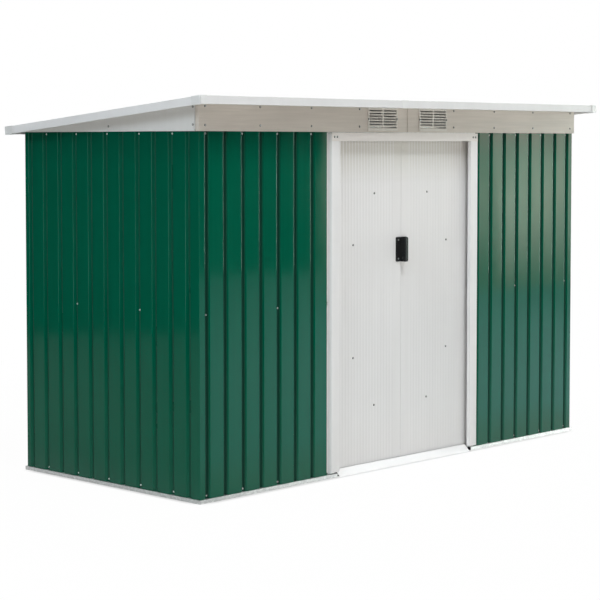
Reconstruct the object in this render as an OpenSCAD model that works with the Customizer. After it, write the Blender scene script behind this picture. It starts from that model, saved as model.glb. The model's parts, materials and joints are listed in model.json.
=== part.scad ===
// Metal garden shed with a single-slope roof, ribbed sheet walls and two doors that slide
// behind the front wall. Front faces -Y, the ground is z = 0, and every size is in millimetres.

/* [Walls] */
// Distance between neighbouring grooves of the wall sheets
rib_pitch = 107; // [95:1:120]
// Number of groove pitches along the front and along the back
front_bays = 25; // [23:1:29]
// Number of groove pitches along each side
side_bays = 11; // [9:1:14]
// Distance by which the first groove of a side lies nearer to the back corner
side_groove_back = 6; // [0:1:10]
// Amount by which the grooves of a side are closer together
side_groove_closer = 1.6; // [0:0.1:2]
// Height of the top edge of the wall sheets above the ground
wall_top = 1566; // [1400:1:1900]
// Thickness of the folded steel sheet as drawn
sheet_t = 1; // [0.8:0.1:1.5]
// Width of a groove at the face of the sheet
groove_mouth = 30; // [26:1:40]
// Width of the flat bottom of a groove
groove_floor = 12; // [11:1:18]
// Depth of a groove
groove_depth = 12; // [8:0.5:14]
// Distance of the flat faces of the sheets behind the face of the base rails
sheet_inset = 7; // [4:0.5:12]
// Radius of the bends between the flats and the grooves
bend_r = 2; // [1:0.5:3]
// Bare margin of a lapped sheet before the next bend
lap_margin = 3; // [2:0.5:4]
// Groove, counted from a corner along the side, where the corner sheet laps
side_lap_groove = 3; // [2:1:3]
// Groove, counted from a corner along the front, where the two front sheets lap
front_lap_groove = 4; // [3:1:5]

/* [Base rails] */
// Height of the visible face of the base rails
rail_face_h = 16; // [12:1:24]
// Width of the flange that lies on the ground
rail_flange = 36; // [32:1:50]
// Height of the upstand that the sheets are screwed to
rail_upstand_h = 30; // [20:1:40]

/* [Top rails] */
// Height of the web that the tops of the sheets are screwed to
top_web_h = 36; // [30:1:45]
// Room between the outer edge of the top flange and the stepped end of the fascia
top_flange_gap = 1; // [0.5:0.5:3]

/* [Doorway] */
// Groove, counted from a corner along the front, that the door jamb covers
jamb_groove = 7; // [6:1:8]
// Distance from the centre of that groove to the side of the jamb
jamb_offset = 9; // [8:0.5:14]
// Width of the face of a door jamb
jamb_face = 53; // [40:1:60]
// Depth of the side of a jamb towards the doorway
jamb_return = 18; // [14:1:35]
// Distance of the lower ends of the jambs above the base rails
jamb_up = 7; // [4:1:12]
// Height of the face of the door head
head_h = 38; // [28:1:45]
// Gap between the door head and the fascia above it
head_gap = 3; // [2:0.5:8]
// Depth of the lower fold of the door head
head_return = 28; // [15:1:32]
// Height of the flat top of the door ramp
ramp_h = 28; // [22:1:29]
// Reach of the ramp in front of the base rails
ramp_reach = 2; // [0:1:30]
// Distance of the upper edge of the ramp's slope behind the face of the base rails
ramp_crest = 26; // [10:1:30]
// Width of the fold under the ramp, from its toe
ramp_hem = 20; // [14:1:26]
// Gap between the ends of the ramp and the jambs
ramp_gap = 1.5; // [1:0.5:3]
// Distance of the ends of the front rails from the doorway, behind the jambs
rail_stop = 12; // [4:1:20]

/* [Doors] */
// Distance of the door faces behind the face of the base rails
door_setback = 42; // [40:0.5:46]
// Depth of the folded edges of a door leaf
door_fold = 16; // [14:1:20]
// Gap between the two closed leaves
door_meeting_gap = 5; // [5:0.5:8]
// Radius of the bends at the edges of a leaf
leaf_edge_r = 6; // [3:0.5:7]
// Overlap of a closed leaf behind its jamb
door_overlap = 27; // [24:1:34]
// Height of the lower edge of the folds and the braces of the leaves
door_bottom = 33; // [32:1:40]
// Distance that the face of a leaf reaches down below its folds
door_skirt = 8; // [4:1:8]
// Height of the top edge of the leaves below the top of the walls
door_top_drop = 28; // [25:1:32]
// Spacing of the fine upright beads on the leaves
bead_pitch = 20.4; // [18:0.2:30]
// Width of a bead
bead_w = 8; // [5:0.5:9]
// Height of a bead
bead_h = 1; // [0.6:0.1:2.5]
// Plain margin between the flange of the handle and the first bead
bead_margin = 11; // [6:1:20]
// Height of the notch at the foot of the meeting edges
leaf_notch_h = 26; // [20:1:60]
// Width of the braces on the back of a leaf
brace_w = 30; // [22:1:40]
// Depth of the braces on the back of a leaf
brace_d = 12; // [8:1:13]
// Thickness of the metal of the braces
brace_t = 1.2; // [1:0.1:2]

/* [Door gear] */
// Height of the box of the top track above the running lip
track_h = 28; // [24:1:34]
// Depth of the top track
track_d = 47; // [44:1:50]
// Width of the running lip
track_lip = 10; // [8:0.5:12]
// Height of the running lip below the top of the walls
track_lip_drop = 4; // [2:0.5:8]
// Thickness of the top track and of the floor track
track_t = 1.2; // [1:0.1:1.5]
// Length of the top track and the floor track
track_l = 2000; // [1900:10:2300]
// Height of the guide rib of the floor track
floor_rib_h = 24; // [18:1:27]
// Running clearance of the hangers and the guides
run_gap = 0.3; // [0.2:0.1:0.6]
// Length of a hanger or guide along the door
slider_l = 45; // [30:1:60]
// Distance of the hangers and guides from the edges of the leaf
slider_inset = 60; // [40:1:90]
// Width of a hanger's stem across the track
slider_w = 10; // [8:0.5:10]
// Height of the head of a hanger inside the top track
hanger_head_h = 15; // [10:1:18]
// Height by which the guides reach down over the rib of the floor track
guide_reach = 12; // [8:1:16]
// Room above the rib in the guides
guide_room = 2; // [1:0.5:4]

/* [Handles] */
// Height of the middle of the handles
handle_z = 1010; // [900:1:1100]
// Height of a handle
handle_h = 116; // [90:1:140]
// Width of the screwed flange of a handle
handle_flange = 35; // [25:1:45]
// Thickness of the handle's flange and grip
handle_t = 4; // [3:0.5:5]
// Distance that the grip stands out from the door
grip_reach = 39; // [25:1:41]
// Radius of the round edge of the grip
grip_r = 4; // [3:0.5:5]
// Radius of the corners of the handle
handle_corner = 6; // [3:0.5:8]
// Radius of the padlock hole
lock_hole_r = 4.5; // [3:0.5:6]
// Distance of the padlock hole from the lower end of the handle
lock_hole_up = 17; // [14:1:30]
// Distance of the padlock hole in front of the door
lock_hole_out = 19; // [12:0.5:22]

/* [Fascia and vents] */
// Distance that the fascias reach down over the tops of the sheets
fascia_drop = 9; // [4:0.5:12]
// Width of the fascia's leg round the corners
fascia_wrap = 21; // [15:1:40]
// Place of the joint of the two fascia halves, from the middle
fascia_joint = -11; // [-25:1:25]
// Width of the lap between the two fascia halves
fascia_lap = 40; // [20:1:60]
// Depth of the step in the lapped end of the fascia
fascia_step = 3; // [1.5:0.5:4]
// Width of the step that shows beside the lap
fascia_recess = 7; // [3:1:15]
// Open joint between the leg of the fascia and the gable
gable_joint = 3; // [1:0.5:6]
// Width of a vent
vent_w = 205; // [160:1:240]
// Thickness of the vent plate
vent_t = 3; // [2:0.5:5]
// Width of the vent's border at its sides and its top
vent_border = 8; // [6:0.5:12]
// Width of the bar down the middle of a vent
vent_bar = 10; // [6:0.5:16]
// Height of the vent's border below its slots
vent_foot = 11; // [8:0.5:14]
// Spacing of the slots in a vent
vent_slot_pitch = 12.6; // [10:0.2:18]
// Height of a slot in a vent
vent_slot_h = 7; // [4:0.5:8]
// Distance of a vent from the middle of the shed
vent_from_middle = 79; // [65:1:150]
// Distance of a vent above the lower edge of the fascia
vent_up = 6; // [3:0.5:12]
// Least distance of a vent below the top of the fascia
vent_top_gap = 4; // [2:0.5:10]

/* [Roof] */
// Slope of the roof in degrees
roof_slope = 5.32; // [5.3:0.02:8]
// Overhang in front of the front wall
roof_front = 85; // [60:1:120]
// Overhang behind the back wall
roof_back = 37; // [25:1:80]
// Overhang at each side
roof_side = 70; // [50:1:110]
// Height of the back edge of the roof sheets above the wall
roof_lift = 5; // [4:0.5:20]
// Height of the ribs of the roof sheets
roof_rib_h = 10; // [8:0.5:14]
// Number of rib pitches across the roof
roof_bays = 26; // [24:1:30]
// Height of the roof trims
trim_h = 34; // [30:1:48]
// Width of the folds of the trims
trim_lip = 14; // [10:1:20]
// Thickness of the trims
trim_t = 1.2; // [1:0.1:2]
// Height of the drip edge at the foot of the trims
drip_h = 6; // [4:0.5:10]
// Distance that the drip edge stands out
drip_out = 2; // [1:0.5:4]
// Length of a corner cap along the front or the back
cap_front = 36; // [28:1:60]
// Length of a corner cap along the side
cap_side = 52; // [34:1:70]
// Radius of the upright edge of a corner cap
cap_r = 7; // [4:0.5:10]
// Thickness of the corner caps and of the trim joiner
cap_t = 1.5; // [1.5:0.5:4]
// Place of the joiner along the front trim, from the middle
joiner_x = -120; // [-600:1:600]
// Width of the joiner
joiner_w = 46; // [30:1:60]
// Height of the roof beam
beam_h = 40; // [30:1:50]
// Width of the roof beam
beam_w = 30; // [20:1:40]
// Place of the roof beam behind the front wall
beam_back = 560; // [400:1:700]

/* [Hidden] */
// Clearance where slanted or mitred pieces meet
seat_gap = 0.2;
// Room past a cut
over = 5;
// Room between the sides of the jambs and the top rail
shoulder_gap = 2;
// Length of the slope where the lapped fascia steps back
joggle_run = 3;
// Straight pieces that make one bend of the ribbed sheets
bend_steps = 2;
// Straight pieces that make one right-angled bend
corner_steps = 4;
$fn = 48;

GREEN = [0.03, 0.31, 0.24];
WHITE = [0.86, 0.86, 0.84];
ZINC = [0.62, 0.65, 0.67];
BLACK = [0.05, 0.05, 0.06];
NYLON = [0.78, 0.78, 0.76];

FRONT = 0;
RIGHT = 1;
BACK = 2;
LEFT = 3;

wall_w = front_bays * rib_pitch;
wall_d = side_bays * rib_pitch;

// Roof heights are counted from the underside of the flat pans, along the slope's normal
roof_top_n = roof_rib_h + sheet_t;
trim_top_n = roof_top_n + trim_t;
trim_bottom_n = trim_top_n - trim_h;
cap_top_n = trim_top_n + cap_t;
cap_bottom_n = trim_bottom_n - cap_t;
roof_run = roof_front + wall_d + roof_back;
roof_l = roof_run / cos(roof_slope);
roof_w = wall_w + 2 * roof_side;
// The model's box is centred on the origin, with the roof caps as its outermost points
roof_y = -(roof_run + (cap_top_n + cap_bottom_n) * sin(roof_slope)) / 2;
front_y = roof_y + roof_front;
back_y = front_y + wall_d;
roof_z = wall_top + sheet_t + roof_lift + (back_y - roof_y) * tan(roof_slope);

// Depths behind the face of the base rails
sheet_back = sheet_inset + groove_depth + sheet_t;
web_depth = sheet_back + sheet_t;
track_depth = web_depth + sheet_t;
top_flange_depth = fascia_step + sheet_t + top_flange_gap;

jamb_x = wall_w / 2 - (jamb_groove + 0.5) * rib_pitch - jamb_offset;
opening_half = jamb_x - jamb_face;
head_top = wall_top - fascia_drop - head_gap;
head_bottom = head_top - head_h;
jamb_shoulder = wall_top - top_web_h - shoulder_gap;
fascia_bottom = wall_top - fascia_drop;

leaf_in = door_meeting_gap / 2;
leaf_out = opening_half + door_overlap;
leaf_w = leaf_out - leaf_in;
door_top = wall_top - door_top_drop;
lip_top = wall_top - track_lip_drop;
door_stile = handle_flange + bead_margin;
bead_count = floor((leaf_w - 2 * door_stile) / bead_pitch) + 1;
bead_start = leaf_in + (leaf_w - (bead_count - 1) * bead_pitch) / 2;
floor_rib_depth = door_setback + door_fold / 2;

// Paths of folded sheet

function unit(v) = v / norm(v);
function left_of(v) = [-v[1], v[0]];
function turned(v, a) = [v[0] * cos(a) - v[1] * sin(a), v[0] * sin(a) + v[1] * cos(a)];
function reversed(list) = [for (i = [len(list) - 1 : -1 : 0]) list[i]];

// Points of the round bend that takes the place of corner b between a and c
function bend(a, b, c, r, steps) =
    let (into = unit(b - a),
         away = unit(c - b),
         turn = atan2(into[0] * away[1] - into[1] * away[0], into * away),
         side = sign(turn),
         arm = left_of(into) * r * side,
         centre = b - into * r * tan(abs(turn) / 2) + arm)
    [for (i = [0 : steps]) centre + turned(-arm, turn * i / steps)];

// A path with all its inner corners bent
function bent(path) =
    let (last = len(path) - 1)
    concat([path[0]],
           [for (i = [1 : last - 1]) each bend(path[i - 1], path[i], path[i + 1], bend_r, bend_steps)],
           [path[last]]);

// A path moved to its left by t, with mitred corners
function shifted(path, t) =
    let (last = len(path) - 1)
    [for (i = [0 : last])
        let (into = left_of(unit(i == 0 ? path[1] - path[0] : path[i] - path[i - 1])),
             away = left_of(unit(i == last ? path[i] - path[i - 1] : path[i + 1] - path[i])),
             middle = unit(into + away))
        path[i] + middle * t / (middle * into)];

// Outline of a sheet of thickness t that lies to the left of a path, or to its right if t < 0
module folded(path, t) polygon(concat(path, reversed(shifted(path, t))));

// Folds of the rolled sheet, as places along the sheet and heights out of its face

function fold(c, rise) = [[c - groove_mouth / 2, 0], [c - groove_floor / 2, rise],
                          [c + groove_floor / 2, rise], [c + groove_mouth / 2, 0]];
function lap_start(c, rise, under) =
    let (h = under ? rise - sheet_t : rise)
    [[c - groove_floor / 2 + lap_margin, h],
     [c + groove_floor / 2, h], [c + groove_mouth / 2, 0]];
function lap_end(c, rise, under) =
    let (h = under ? rise - sheet_t : rise)
    [[c - groove_mouth / 2, 0], [c - groove_floor / 2, h],
     [c + groove_floor / 2 - lap_margin, h]];

// A point of a wall, along the wall anticlockwise seen from above and behind its rail's face
function at_wall(wall, along, behind) =
    wall == FRONT ? [-wall_w / 2 + along, front_y + behind] :
    wall == RIGHT ? [wall_w / 2 - behind, front_y + along] :
    wall == BACK ? [wall_w / 2 - along, back_y - behind] :
    [-wall_w / 2 + behind, back_y - along];
function on_wall(wall, points) = [for (p = points) at_wall(wall, p[0], sheet_inset - p[1])];
// Sides are drawn on the left, where the grooves count from the back
function groove_at(wall, k) =
    (k + 0.5) * rib_pitch - (wall == LEFT ? side_groove_back + k * side_groove_closer : 0);
function wall_grooves(wall, first, last) =
    on_wall(wall, [for (k = [first : 1 : last]) each fold(groove_at(wall, k), -groove_depth)]);
function wall_start(wall, k, under) =
    on_wall(wall, lap_start(groove_at(wall, k), -groove_depth, under));
function wall_end(wall, k, under) =
    on_wall(wall, lap_end(groove_at(wall, k), -groove_depth, under));

// An upright wall sheet along a path
module wall_sheet(path)
    translate([0, 0, rail_face_h])
        linear_extrude(wall_top - rail_face_h) folded(bent(path), sheet_t);

// A sheet between two grooves of one wall
module flat_sheet(wall, first, last, under_first, under_last)
    wall_sheet(concat(wall_start(wall, first, under_first),
                      wall_grooves(wall, first + 1, last - 1),
                      wall_end(wall, last, under_last)));

// A sheet that is bent round the corner where one wall ends and the next begins
module corner_sheet(wall, first, bays, next, last)
    wall_sheet(concat(wall_start(wall, first, true),
                      wall_grooves(wall, first + 1, bays - 1),
                      [at_wall(next, sheet_inset, sheet_inset)],
                      wall_grooves(next, 0, last - 1),
                      wall_end(next, last, false)));

// A profile of depths behind the front face and heights, drawn out along the front
module along_front(x_from, x_to)
    translate([x_from, front_y, 0]) rotate([90, 0, 90]) linear_extrude(x_to - x_from) children();

// The same along a whole wall, turned to face outwards and mitred at the corners
module along_wall(wall, inner) {
    l = wall == FRONT || wall == BACK ? wall_w : wall_d;
    turn = wall * 90;
    at = at_wall(wall, 0, 0);
    translate([at[0], at[1], 0]) rotate([0, 0, turn]) intersection() {
        rotate([90, 0, 90]) linear_extrude(l) children();
        linear_extrude(wall_top + over)
            polygon([[seat_gap, 0], [l - seat_gap, 0],
                     [l - inner - seat_gap, inner], [inner + seat_gap, inner]]);
    }
}

module right_hand() mirror([1, 0, 0]) children();

// Base rails

module base_profile()
    folded([[rail_flange, 0], [0, 0], [0, rail_face_h],
            [web_depth, rail_face_h], [web_depth, rail_face_h + rail_upstand_h]], -sheet_t);

module base_rail(wall) color(ZINC) along_wall(wall, rail_flange) base_profile();

// The front rails stop behind the jambs, so that the doorway is open
module front_base_rail() color(ZINC) intersection() {
    along_wall(FRONT, rail_flange) base_profile();
    translate([-wall_w / 2, front_y - over, 0])
        cube([wall_w / 2 - opening_half - rail_stop, rail_flange + 2 * over, wall_top]);
}

module front_base_rail_left() front_base_rail();
module front_base_rail_right() right_hand() front_base_rail();
module left_base_rail() base_rail(LEFT);
module right_base_rail() base_rail(RIGHT);
module back_base_rail() base_rail(BACK);

module door_ramp() color(WHITE) along_front(-opening_half + ramp_gap, opening_half - ramp_gap)
    folded([[-ramp_reach + ramp_hem, 0], [-ramp_reach, 0], [ramp_crest, ramp_h],
            [rail_flange, ramp_h], [rail_flange, 0]], -track_t);

module door_floor_track() color(ZINC) along_front(-track_l / 2, track_l / 2)
    folded([[rail_flange, 0], [floor_rib_depth, 0], [floor_rib_depth, floor_rib_h]], track_t);

// Wall sheets

module corner_sheet_front_left() color(GREEN)
    corner_sheet(LEFT, side_bays - 1 - side_lap_groove, side_bays, FRONT, 0);
module corner_sheet_back_left() color(GREEN)
    corner_sheet(BACK, front_bays - 1, front_bays, LEFT, side_lap_groove);

module front_left_corner_sheet() corner_sheet_front_left();
module front_right_corner_sheet() right_hand() corner_sheet_front_left();
module back_left_corner_sheet() corner_sheet_back_left();
module back_right_corner_sheet() right_hand() corner_sheet_back_left();

module front_outer_sheet() color(GREEN) flat_sheet(FRONT, 0, front_lap_groove, true, false);
module front_inner_sheet() color(GREEN)
    flat_sheet(FRONT, front_lap_groove, jamb_groove, true, false);
module side_sheet() color(GREEN)
    flat_sheet(LEFT, side_lap_groove, side_bays - 1 - side_lap_groove, true, false);

module front_left_outer_sheet() front_outer_sheet();
module front_left_inner_sheet() front_inner_sheet();
module front_right_outer_sheet() right_hand() front_outer_sheet();
module front_right_inner_sheet() right_hand() front_inner_sheet();
module left_wall_sheet() side_sheet();
module right_wall_sheet() right_hand() side_sheet();

// The back is three sheets wide, with the middle one under its neighbours
back_lap_right = round((front_bays - 1) / 3);
back_lap_left = front_bays - 1 - back_lap_right;
module back_wall_sheet_right() color(GREEN) flat_sheet(BACK, 0, back_lap_right, false, false);
module back_wall_sheet_middle() color(GREEN)
    flat_sheet(BACK, back_lap_right, back_lap_left, true, true);
module back_wall_sheet_left() color(GREEN)
    flat_sheet(BACK, back_lap_left, front_bays - 1, false, false);

// Top rails

module top_rail(wall) color(ZINC) along_wall(wall, web_depth + sheet_t)
    folded([[top_flange_depth, wall_top], [web_depth, wall_top],
            [web_depth, wall_top - top_web_h]], sheet_t);

module front_top_rail() top_rail(FRONT);
module left_top_rail() top_rail(LEFT);
module right_top_rail() top_rail(RIGHT);
module back_top_rail() top_rail(BACK);

// The doors hang on the lip of this track
module door_top_track() color(ZINC) along_front(-track_l / 2, track_l / 2)
    folded([[track_depth, wall_top - top_web_h], [track_depth, lip_top - track_t + track_h],
            [track_depth + track_d, lip_top - track_t + track_h],
            [track_depth + track_d, lip_top - track_t],
            [track_depth + track_d - track_lip, lip_top - track_t]], -track_t);

// Door frame

// The outer side slants back to a tab that lies on the sheet in the groove
jamb_slant = jamb_offset - (groove_floor / 2 - lap_margin) - sheet_t;
jamb_tab_y = front_y + sheet_back - 2 * sheet_t;
jamb_side = [[-jamb_x - jamb_offset - groove_floor / 2 + lap_margin / 2, jamb_tab_y],
             [-jamb_x - jamb_slant, jamb_tab_y], [-jamb_x, front_y]];
jamb_bottom = rail_face_h + jamb_up;
jamb_edge = [-opening_half, front_y];

// The side towards the doorway stops below the top rail
module jamb() color(WHITE) {
    translate([0, 0, jamb_bottom]) linear_extrude(jamb_shoulder - jamb_bottom)
        folded(concat(jamb_side, [jamb_edge, jamb_edge + [0, jamb_return]]), sheet_t);
    translate([0, 0, jamb_shoulder]) linear_extrude(head_top - jamb_shoulder)
        folded(concat(jamb_side, [jamb_edge]), sheet_t);
}

module left_jamb() jamb();
module right_jamb() right_hand() jamb();

module door_head() color(WHITE) {
    translate([-jamb_x, front_y - sheet_t, head_bottom]) cube([2 * jamb_x, sheet_t, head_h]);
    translate([-opening_half + ramp_gap, front_y - sheet_t, head_bottom])
        cube([2 * (opening_half - ramp_gap), head_return + sheet_t, sheet_t]);
}

// Fascia, gables and vents

function roof_under(y) = roof_z - (y - roof_y) * tan(roof_slope);
fascia_top = roof_under(front_y + fascia_wrap) - seat_gap;
shelf_z = wall_top + sheet_t;
vent_bottom = fascia_bottom + vent_up;
vent_room = fascia_top - vent_top_gap - vent_bottom - vent_foot - vent_border;
vent_slots = floor(vent_room / vent_slot_pitch);
vent_louvre_h = vent_slots * vent_slot_pitch;
vent_h = vent_foot + vent_louvre_h + vent_border;

// Shelf by which a fascia or gable sits on its top rail
module shelf(l) translate([0, 0, shelf_z]) cube([l, web_depth, sheet_t]);

module vent_opening() translate([vent_from_middle + vent_border, front_y - over,
                                 vent_bottom + vent_foot])
    cube([vent_w - 2 * vent_border, web_depth, vent_louvre_h]);

// Half of the front fascia, drawn for the right-hand side
module fascia_half(inner) color(WHITE) difference() {
    union() {
        translate([0, 0, fascia_bottom]) linear_extrude(fascia_top - fascia_bottom)
            folded(concat(inner, [[wall_w / 2, front_y], [wall_w / 2, front_y + fascia_wrap]]),
                   sheet_t);
        translate([2 * fascia_lap, front_y, 0]) shelf(wall_w / 2 - 2 * fascia_lap - sheet_t / 2);
    }
    vent_opening();
}

// The left half passes in front of the joggled end of the right half
module front_fascia_left() right_hand() fascia_half([[-fascia_joint, front_y]]);
module front_fascia_right() fascia_half([[fascia_joint - fascia_lap, front_y + fascia_step],
                                         [fascia_joint + fascia_recess, front_y + fascia_step],
                                         [fascia_joint + fascia_recess + joggle_run, front_y]]);

module back_fascia() color(WHITE) {
    h = roof_under(back_y) - seat_gap - fascia_bottom;
    translate([-wall_w / 2, back_y - sheet_t, fascia_bottom]) cube([wall_w, sheet_t, h]);
    translate([wall_w / 2, back_y, 0]) rotate([0, 0, 180])
        translate([web_depth, 0, 0]) shelf(wall_w - 2 * web_depth);
}

// Side panel that closes the wedge between the wall and the roof
module gable() color(WHITE) {
    from = front_y + fascia_wrap + gable_joint;
    to = back_y - sheet_t - seat_gap;
    translate([-wall_w / 2, 0, 0]) rotate([90, 0, 90]) linear_extrude(sheet_t)
        polygon([[from, fascia_bottom], [to, fascia_bottom],
                 [to, roof_under(to) - seat_gap], [from, roof_under(from) - seat_gap]]);
    translate([-wall_w / 2, to - web_depth, 0]) rotate([0, 0, -90])
        shelf(to - from - 2 * web_depth);
}

module left_gable() gable();
module right_gable() right_hand() gable();

// Louvre plate with two columns of sloping slots, drawn for the right-hand side
module vent() color(WHITE) {
    slot_w = (vent_w - 2 * vent_border - vent_bar) / 2;
    reach = vent_t + over;
    translate([vent_from_middle, front_y, vent_bottom]) difference() {
        translate([0, -vent_t, 0]) cube([vent_w, vent_t, vent_h]);
        for (x = [vent_border, vent_border + slot_w + vent_bar], i = [0 : vent_slots - 1])
            translate([x, -vent_t, vent_foot + (i + 0.5) * vent_slot_pitch - vent_t / 2])
                rotate([90, 0, 90]) linear_extrude(slot_w)
                    polygon([[-reach, -vent_slot_h / 2 - reach], [reach, -vent_slot_h / 2 + reach],
                             [reach, vent_slot_h / 2 + reach], [-reach, vent_slot_h / 2 - reach]]);
    }
}

module left_vent() right_hand() vent();
module right_vent() vent();

// Roof

// Frame of the roof: across, down the slope, and up from the underside of the pans
module on_roof() translate([0, roof_y, roof_z]) rotate([-roof_slope, 0, 0]) children();

sheet_half = roof_w / 2 - trim_t - seat_gap;
roof_pitch = 2 * sheet_half / roof_bays;
function rib_at(k) = -sheet_half + k * roof_pitch;
function roof_ribs(first, last) = [for (k = [first : 1 : last]) each fold(rib_at(k), roof_rib_h)];
roof_lap_left = round(roof_bays / 3);
roof_lap_right = roof_bays - roof_lap_left;
function rib_half_start(k) = [[rib_at(k), roof_rib_h], [rib_at(k) + groove_floor / 2, roof_rib_h],
                              [rib_at(k) + groove_mouth / 2, 0]];
function mirrored(points) = reversed([for (p = points) [-p[0], p[1]]]);

// A roof sheet whose upper face follows a path across the roof
module roof_sheet(path) color(WHITE) on_roof()
    translate([0, trim_t + seat_gap, sheet_t]) rotate([90, 0, 0]) mirror([0, 0, 1])
        linear_extrude(roof_l - 2 * (trim_t + seat_gap)) folded(bent(path), -sheet_t);

roof_left_path = concat(rib_half_start(0), roof_ribs(1, roof_lap_left - 1),
                        lap_end(rib_at(roof_lap_left), roof_rib_h, false));

module roof_sheet_left() roof_sheet(roof_left_path);
module roof_sheet_right() roof_sheet(mirrored(roof_left_path));
module roof_sheet_middle()
    roof_sheet(concat(lap_start(rib_at(roof_lap_left), roof_rib_h, true),
                      roof_ribs(roof_lap_left + 1, roof_lap_right - 1),
                      lap_end(rib_at(roof_lap_right), roof_rib_h, true)));

// Channel under the middle of the roof, open downwards, from gable to gable
module roof_beam() color(ZINC) {
    half = wall_w / 2 - sheet_t - seat_gap;
    down = (roof_front + beam_back) / cos(roof_slope);
    on_roof() translate([-half, down, -seat_gap]) rotate([90, 0, 90]) linear_extrude(2 * half)
        folded([[0, -beam_h], [0, 0], [beam_w, 0], [beam_w, -beam_h]], -track_t);
}

// Folds of a trim: a lip on the roof, the face, a drip edge that stands out, and a lower lip
trim_path = [[trim_lip, trim_top_n], [0, trim_top_n], [0, trim_bottom_n + drip_h],
             [-drip_out, trim_bottom_n], [trim_lip, trim_bottom_n]];
module trim_profile() folded(trim_path, trim_t);

module front_roof_trim() color(WHITE) on_roof()
    translate([-roof_w / 2, 0, 0]) rotate([90, 0, 90]) linear_extrude(roof_w) trim_profile();
module back_roof_trim() color(WHITE) on_roof()
    translate([roof_w / 2, roof_l, 0]) rotate([90, 0, -90]) linear_extrude(roof_w) trim_profile();

// The side trims run between the folds of the front and the back trim
module side_roof_trim() color(WHITE) {
    from = trim_lip + seat_gap;
    on_roof() translate([-roof_w / 2, roof_l - from, 0]) rotate([90, 0, 0])
        linear_extrude(roof_l - 2 * from) trim_profile();
}

module left_roof_trim() side_roof_trim();
module right_roof_trim() right_hand() side_roof_trim();

// Cap over the front left corner, with its corner at the origin
module corner_cap() {
    room = drip_out + seat_gap;
    edge = -room - cap_t;
    difference() {
        translate([0, 0, cap_bottom_n]) linear_extrude(cap_top_n - cap_bottom_n)
            polygon(concat(bend([cap_front, edge], [edge, edge], [edge, cap_side], cap_r, corner_steps),
                           [[edge, cap_side], [cap_front, cap_side], [cap_front, edge]]));
        translate([-room, -room, trim_bottom_n])
            cube([cap_front + room + over, cap_side + room + over, trim_h]);
        translate([trim_lip, trim_lip, cap_bottom_n - over])
            cube([cap_front, cap_side, cap_t + 2 * over]);
    }
}

module roof_corner_caps() color(WHITE) on_roof() {
    for (side = [0, 1]) mirror([side, 0, 0]) {
        translate([-roof_w / 2, 0, 0]) corner_cap();
        translate([-roof_w / 2, roof_l, 0]) mirror([0, 1, 0]) corner_cap();
    }
}

module roof_trim_joiner() color(WHITE) on_roof()
    translate([joiner_x - joiner_w / 2, 0, 0]) rotate([90, 0, 90]) linear_extrude(joiner_w)
        folded(trim_path, -cap_t / 2);

// Doors, drawn for the right-hand leaf

function bead(c) = [[c - bead_w / 2, 0], [c, -bead_h], [c + bead_w / 2, 0]];
leaf_face = concat(
    [[leaf_in, door_fold]],
    bend([leaf_in, door_fold], [leaf_in, 0], [leaf_out, 0], leaf_edge_r, corner_steps),
    [for (i = [0 : bead_count - 1]) each bead(bead_start + i * bead_pitch)],
    bend([leaf_in, 0], [leaf_out, 0], [leaf_out, door_fold], leaf_edge_r, corner_steps),
    [[leaf_out, door_fold]]);

// Only the face reaches down into the skirt, and the fold at the meeting edge is notched higher
module door_panel() color(WHITE) translate([0, front_y + door_setback, door_bottom]) difference() {
    translate([0, 0, -door_skirt])
        linear_extrude(door_top - door_bottom + door_skirt) folded(leaf_face, sheet_t);
    translate([leaf_in - over, sheet_t, -door_skirt - over])
        cube([leaf_w + 2 * over, door_fold + over, door_skirt + over]);
    translate([leaf_in - over, sheet_t, -over])
        cube([over + leaf_edge_r, door_fold + over, leaf_notch_h + over]);
}

// Channel on the back of a leaf between two points of the leaf, open backwards
module brace(from, to) {
    run = to - from;
    translate([from[0], front_y + door_setback + sheet_t, from[1]])
        rotate([0, -atan2(run[1], run[0]), 0])
            rotate([90, 0, 90]) linear_extrude(norm(run))
                folded([[brace_d, brace_w / 2], [0, brace_w / 2], [0, -brace_w / 2],
                        [brace_d, -brace_w / 2]], brace_t);
}

module door_braces() color(ZINC) {
    near = leaf_in + leaf_edge_r + seat_gap;
    far = leaf_out - leaf_edge_r - seat_gap;
    low = door_bottom + brace_w / 2;
    high = door_top - brace_w / 2;
    middle = (low + high) / 2;
    brace([near, low], [far, low]);
    brace([near, high], [far, high]);
    brace([near + brace_w, low + 2 * brace_w], [far - brace_w, middle - brace_w]);
    brace([near + brace_w, high - 2 * brace_w], [far - brace_w, middle + brace_w]);
}

// Hanger that stands on the top brace and rides on the lip of the top track
module hanger() {
    stem_depth = door_setback + sheet_t;
    head_depth = track_depth + track_d - track_t - 2 * run_gap;
    head_low = lip_top + run_gap;
    translate([0, front_y + stem_depth, door_top])
        cube([slider_l, slider_w, head_low + hanger_head_h - door_top]);
    translate([0, front_y + stem_depth, head_low])
        cube([slider_l, head_depth - stem_depth, hanger_head_h]);
}

// Guide under the bottom brace, slotted for the rib of the floor track
module guide() difference() {
    foot = floor_rib_h - guide_reach;
    translate([0, front_y + door_setback + sheet_t, foot])
        cube([slider_l, brace_d, door_bottom - foot]);
    translate([-over, front_y + floor_rib_depth - track_t - run_gap, 0])
        cube([slider_l + 2 * over, track_t + 2 * run_gap, floor_rib_h + guide_room]);
}

module door_sliders() color(NYLON)
    for (x = [leaf_in + slider_inset, leaf_out - slider_inset - slider_l]) translate([x, 0, 0]) {
        hanger();
        guide();
    }

module rounded_plate(w, h, r) {
    translate([r, 0]) square([w - 2 * r, h]);
    translate([0, r]) square([w, h - 2 * r]);
    for (x = [r, w - r], y = [r, h - r]) translate([x, y]) circle(r);
}

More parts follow.
